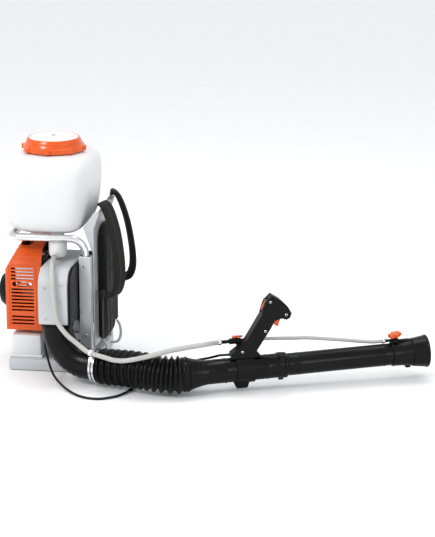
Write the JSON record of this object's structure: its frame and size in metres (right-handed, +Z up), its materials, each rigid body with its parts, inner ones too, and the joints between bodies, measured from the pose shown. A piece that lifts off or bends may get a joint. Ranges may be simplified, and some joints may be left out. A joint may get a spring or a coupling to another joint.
{
  "type": "leaf blower",
  "caption": "Backpack mist blower: fan and engine under a solution tank, with an elbow, pleated hose, blow tube, handle and spray nozzle.",
  "frame": {"origin": "middle of the base plate's underside", "axes": "+X is the wearer's forward direction and runs towards the nozzle, +Y the wearer's left, +Z up"},
  "size_m": [1.3077, 0.5524, 0.6898],
  "materials": {
    "white_plastic": "translucent milky",
    "grey_plastic": "satin moulded",
    "orange_plastic": "glossy moulded",
    "black_plastic": "satin moulded",
    "rubber": "matte",
    "fabric": "woven",
    "clear_hose": "translucent",
    "aluminium": "polished",
    "cast_metal": "cast",
    "steel": "brushed",
    "filter_foam": "foam"
  },
  "bodies": {
    "backpack": {"air_filter": "filter_foam", "air_filter_cover": "black_plastic", "back_pad": "fabric", "back_plate": "grey_plastic", "base_plate": "grey_plastic", "buffer_left": "rubber", "buffer_right": "rubber", "carburettor": "cast_metal", "connecting_rod": "steel", "crankcase": "cast_metal", "cylinder": "cast_metal", "engine_shroud": "orange_plastic", "fan_housing_front": "black_plastic", "fan_housing_rear": "grey_plastic", "frame_bar_left": "grey_plastic", "frame_bar_right": "grey_plastic", "frame_tube": "aluminium", "fuel_tank": "grey_plastic", "lower_strap_left": "fabric", "lower_strap_right": "fabric", "muffler": "steel", "outlet_collar": "black_plastic", "piston": "aluminium", "shoulder_strap_left": "fabric", "shoulder_strap_right": "fabric", "solution_tank": "white_plastic", "spark_plug": "steel", "spark_plug_boot": "rubber", "starter_cover": "black_plastic", "starter_rope": "fabric", "strainer_cup": "white_plastic", "supply_hose_upper": "clear_hose", "throttle_cable_a": "rubber"},
    "elbow": {"elbow": "black_plastic", "elbow_clamp": "aluminium", "pleated_hose": "rubber", "cable_clip": "black_plastic"},
    "blow_tube": {"blow_tube_rear": "black_plastic", "blow_tube_front": "black_plastic", "nozzle": "black_plastic", "nozzle_flare": "black_plastic", "handle_clamp": "black_plastic", "handle_left": "black_plastic", "handle_right": "black_plastic", "stopcock_body": "black_plastic", "nozzle_hose": "clear_hose", "supply_hose_lower": "clear_hose", "throttle_cable_b": "rubber"},
    "throttle_trigger": {"throttle_trigger": "orange_plastic"},
    "stop_switch": {"stop_switch": "orange_plastic"},
    "stopcock_lever": {"stopcock_lever": "orange_plastic"},
    "metering_knob": {"metering_knob": "orange_plastic"},
    "lid": {"tank_lid": "white_plastic"},
    "lid_ring": {"lid_ring": "orange_plastic"},
    "fuel_cap": {"fuel_cap": "black_plastic"},
    "crankshaft": {"crankshaft": "steel", "fan_wheel": "black_plastic"},
    "starter_grip": {"starter_grip": "black_plastic"},
    "starter_pulley": {"starter_pulley": "black_plastic"},
    "choke_lever": {"choke_lever": "black_plastic"}
  },
  "joints": [
    {"name": "elbow_swivel", "type": "hinge", "parent": "backpack", "child": "elbow", "pos_m": [0.037, -0.21, 0.17], "axis": [0, 0, 1], "range_deg": [-50, 10], "deforming": ["supply_hose_upper", "throttle_cable_a"]},
    {"name": "hose_lift", "type": "hinge", "parent": "elbow", "child": "blow_tube", "pos_m": [0.2966, -0.2864, 0.064], "axis": [0, -1, 0], "range_deg": [0, 45], "deforming": ["pleated_hose", "supply_hose_lower", "throttle_cable_b"]},
    {"name": "throttle_trigger", "type": "hinge", "parent": "blow_tube", "child": "throttle_trigger", "pos_m": [0.6775, -0.19076, 0.22384], "axis": [-0.3584, 0.9336, 0], "range_deg": [0, 16], "stiffness_Nm_per_rad": 0.6, "springref_deg": -20.05},
    {"name": "stop_switch", "type": "slide", "parent": "blow_tube", "child": "stop_switch", "axis": [0.3835, 0.1472, 0.9117], "range_m": [-0.003, 0.003]},
    {"name": "stopcock_lever", "type": "hinge", "parent": "blow_tube", "child": "stopcock_lever", "pos_m": [0.5608, -0.20449, 0.15423], "axis": [-0.0293, -0.0113, 0.9995], "range_deg": [0, 90]},
    {"name": "metering_knob", "type": "hinge", "parent": "blow_tube", "child": "metering_knob", "pos_m": [1.01459, -0.05708, 0.13068], "axis": [-0.22, -0.0843, 0.9719], "range_deg": [0, 300]},
    {"name": "lid_lift", "type": "slide", "parent": "backpack", "child": "lid", "axis": [0, 0, 1], "range_m": [0, 0.12]},
    {"name": "lid_ring_turn", "type": "hinge", "parent": "lid", "child": "lid_ring", "pos_m": [-0.012, 0, 0.66], "axis": [0, 0, 1], "continuous": true},
    {"name": "fuel_cap_turn", "type": "hinge", "parent": "backpack", "child": "fuel_cap", "pos_m": [-0.145, 0.085, 0.076], "axis": [-1, 0, 0], "continuous": true},
    {"name": "crankshaft_turn", "type": "hinge", "parent": "backpack", "child": "crankshaft", "pos_m": [0, 0, 0.21], "axis": [1, 0, 0], "continuous": true},
    {"name": "starter_pull", "type": "slide", "parent": "backpack", "child": "starter_grip", "axis": [0, 1, 0], "range_m": [0, 0.45], "stiffness_N_per_m": 10, "springref_m": -0.2, "deforming": ["starter_rope"]},
    {"name": "starter_pulley_turn", "type": "hinge", "parent": "backpack", "child": "starter_pulley", "pos_m": [-0.1565, 0, 0.21], "axis": [-1, 0, 0], "range_deg": [0, 800]},
    {"name": "choke_lever", "type": "hinge", "parent": "backpack", "child": "choke_lever", "pos_m": [-0.06, 0.13, 0.205], "axis": [0, 1, 0], "range_deg": [0, 60]}
  ],
  "couplings": [
    {"joint": "starter_pulley_turn", "follows": "starter_pull", "rad_per_m": 30.3}
  ]
}
